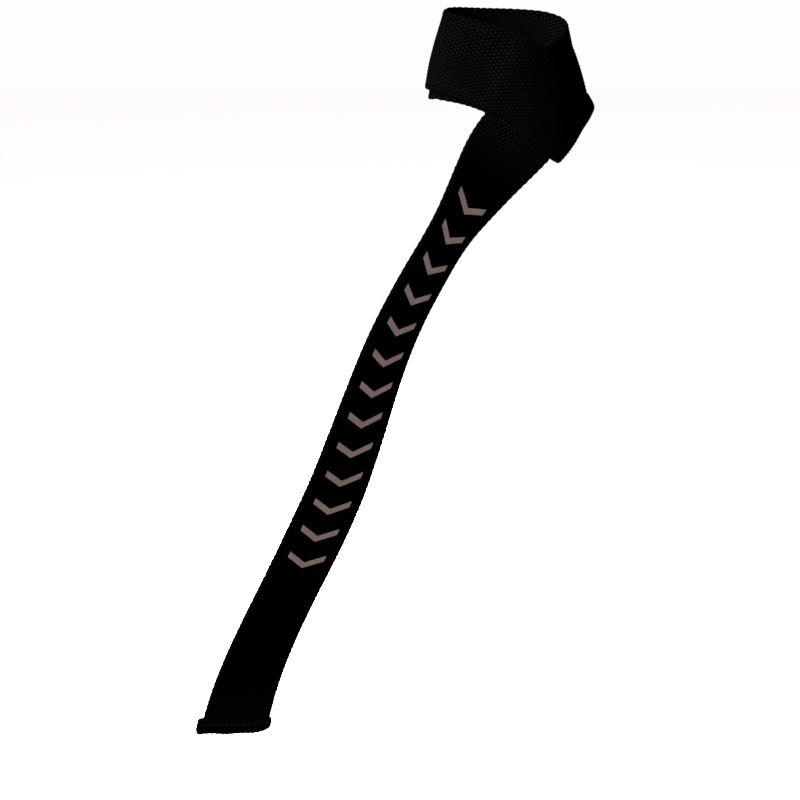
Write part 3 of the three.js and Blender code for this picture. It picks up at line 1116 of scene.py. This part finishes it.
def woven(name, groove_shade, crown, across_pitch, along_pitch, place):
    """Plain weave with painted shade: the colour goes almost to black in the grooves and is lighter
    on the crowns. place is called with the finish and gives the socket of the cloth's own
    coordinates."""
    finish = Finish(name)
    spot = place(finish)
    across, lengthwise, _ = finish.parts(spot)
    rise = weave_rise(finish, across, lengthwise, across_pitch, along_pitch)
    twist_run = finish.math("ADD", finish.math("MULTIPLY", across, TWIST_LEAN), lengthwise)
    twist = finish.math("SINE", finish.math("MULTIPLY", twist_run, 2 * math.pi / TWIST_PITCH))
    fibre = finish.noise(spot, FIBRE_SCALE, CLOTH_DETAIL)
    wander = finish.noise(spot, WANDER_SCALE, CLOTH_DETAIL)
    # Painted shade: this share takes the base colour almost to black in the grooves between the
    # crowns.
    lit = finish.between(rise, LIT_FROM, LIT_FULL)
    slow = finish.between(wander, NOISE_LOW, NOISE_HIGH, WANDER_DARKEST)
    fine = finish.between(fibre, NOISE_LOW, NOISE_HIGH, FIBRE_DARKEST)
    tone = finish.math("MULTIPLY", finish.math("MULTIPLY", lit, slow), fine)
    smooth = finish.between(tone, 0, TONE_SMOOTHEST, GROOVE_ROUGHNESS, CROWN_ROUGHNESS)
    finish.feed(finish.shader.inputs["Base Color"], finish.mix_color(tone, (*groove_shade, 1), (*crown, 1)))
    finish.feed(finish.shader.inputs["Roughness"], smooth)
    finish.shader.inputs["Specular IOR Level"].default_value = CLOTH_SPECULAR
    height = finish.math("ADD", rise, finish.math("MULTIPLY", twist, TWIST_BUMP))
    height = finish.math("ADD", height, finish.math("MULTIPLY", fibre, FIBRE_BUMP))
    finish.bump(height, CLOTH_BUMP, CLOTH_BUMP_STRENGTH)
    return finish.material


# %% Webbing and tape
# The groove colours are painted shade. The crown colours are the lit black of the cloth.
WEBBING_GROOVE_SHADE, WEBBING_LIT_CROWN = (0.00002, 0.00002, 0.00004), (0.0019, 0.0017, 0.0022)
TAPE_GROOVE_SHADE, TAPE_LIT_CROWN = (0.00003, 0.00003, 0.00006), (0.0007, 0.0007, 0.001)
TAPE_WARP = 0.55 * MM
TAPE_PICK = 0.7 * MM
webbing_black = woven(
    "webbing_black", WEBBING_GROOVE_SHADE, WEBBING_LIT_CROWN, WARP_PITCH, PICK_PITCH, weave_map
)
tape_black = woven("tape_black", TAPE_GROOVE_SHADE, TAPE_LIT_CROWN, TAPE_WARP, TAPE_PICK, flat_place)
strap.data.materials.append(webbing_black)
tape.data.materials.append(tape_black)
print("woven finishes:", webbing_black.name, "and", tape_black.name)

# %% Thread
STRAND_PITCH = 0.3 * MM
THREAD_ROUGHNESS = 0.6
THREAD_SPECULAR = 0.02
THREAD_BUMP, THREAD_BUMP_STRENGTH = 0.05 * MM, 0.7
# The first colour of each thread is painted shade between its strands.
EYE_THREAD_STRAND_SHADE, EYE_THREAD_LIGHT = (0.00005, 0.00005, 0.0001), (0.0008, 0.0008, 0.0011)
HEM_THREAD_STRAND_SHADE, HEM_THREAD_LIGHT = (0.0008, 0.0009, 0.0013), (0.006, 0.0066, 0.009)


def spun(name, dark, light):
    """Twisted thread, with painted shade between its strands."""
    finish = Finish(name)
    across, lengthwise, height = finish.parts(flat_place(finish))
    run = finish.math("ADD", finish.math("ADD", across, lengthwise), height)
    twist = finish.math("SINE", finish.math("MULTIPLY", run, 2 * math.pi / STRAND_PITCH))
    # Painted shade: the colour goes darker between the strands.
    color = finish.mix_color(finish.between(twist, -1, 1), (*dark, 1), (*light, 1))
    finish.feed(finish.shader.inputs["Base Color"], color)
    finish.shader.inputs["Roughness"].default_value = THREAD_ROUGHNESS
    finish.shader.inputs["Specular IOR Level"].default_value = THREAD_SPECULAR
    finish.bump(twist, THREAD_BUMP, THREAD_BUMP_STRENGTH)
    return finish.material


eye_thread, hem_thread = threads
eye_thread.data.materials.append(spun("thread_black", EYE_THREAD_STRAND_SHADE, EYE_THREAD_LIGHT))
hem_thread.data.materials.append(spun("thread_charcoal", HEM_THREAD_STRAND_SHADE, HEM_THREAD_LIGHT))
print("thread finishes:", [thread.active_material.name for thread in threads])

# %% Print
WORN_SCALE = 420.0
WORN_DETAIL = 4.0
WORN_LOW, WORN_HIGH = 0.35, 0.75
WORN_SHARE, WEAVE_SHARE = 0.5, 0.5
PRINT_DARK, PRINT_LIGHT = (0.15, 0.105, 0.097), (0.208, 0.144, 0.132)
PRINT_ROUGHNESS = 0.62
PRINT_SPECULAR = 0.3
PRINT_BUMP, PRINT_BUMP_STRENGTH = 0.07 * MM, 0.6


def print_grey():
    """Flat grey print, a little worn, through which the weave still shows."""
    finish = Finish("print_grey")
    spot = flat_place(finish)
    across, lengthwise, _ = finish.parts(spot)
    rise = weave_rise(finish, across, lengthwise, WARP_PITCH, PICK_PITCH)
    worn = finish.between(finish.noise(spot, WORN_SCALE, WORN_DETAIL), WORN_LOW, WORN_HIGH)
    weave = finish.between(rise, -1, 1, 0.0, WEAVE_SHARE)
    tone = finish.math("ADD", finish.math("MULTIPLY", worn, WORN_SHARE), weave)
    color = finish.mix_color(tone, (*PRINT_DARK, 1), (*PRINT_LIGHT, 1))
    finish.feed(finish.shader.inputs["Base Color"], color)
    finish.shader.inputs["Roughness"].default_value = PRINT_ROUGHNESS
    finish.shader.inputs["Specular IOR Level"].default_value = PRINT_SPECULAR
    finish.bump(rise, PRINT_BUMP, PRINT_BUMP_STRENGTH)
    return finish.material


marks.data.materials.append(print_grey())
print("materials:", sorted(m.name for m in bpy.data.materials))
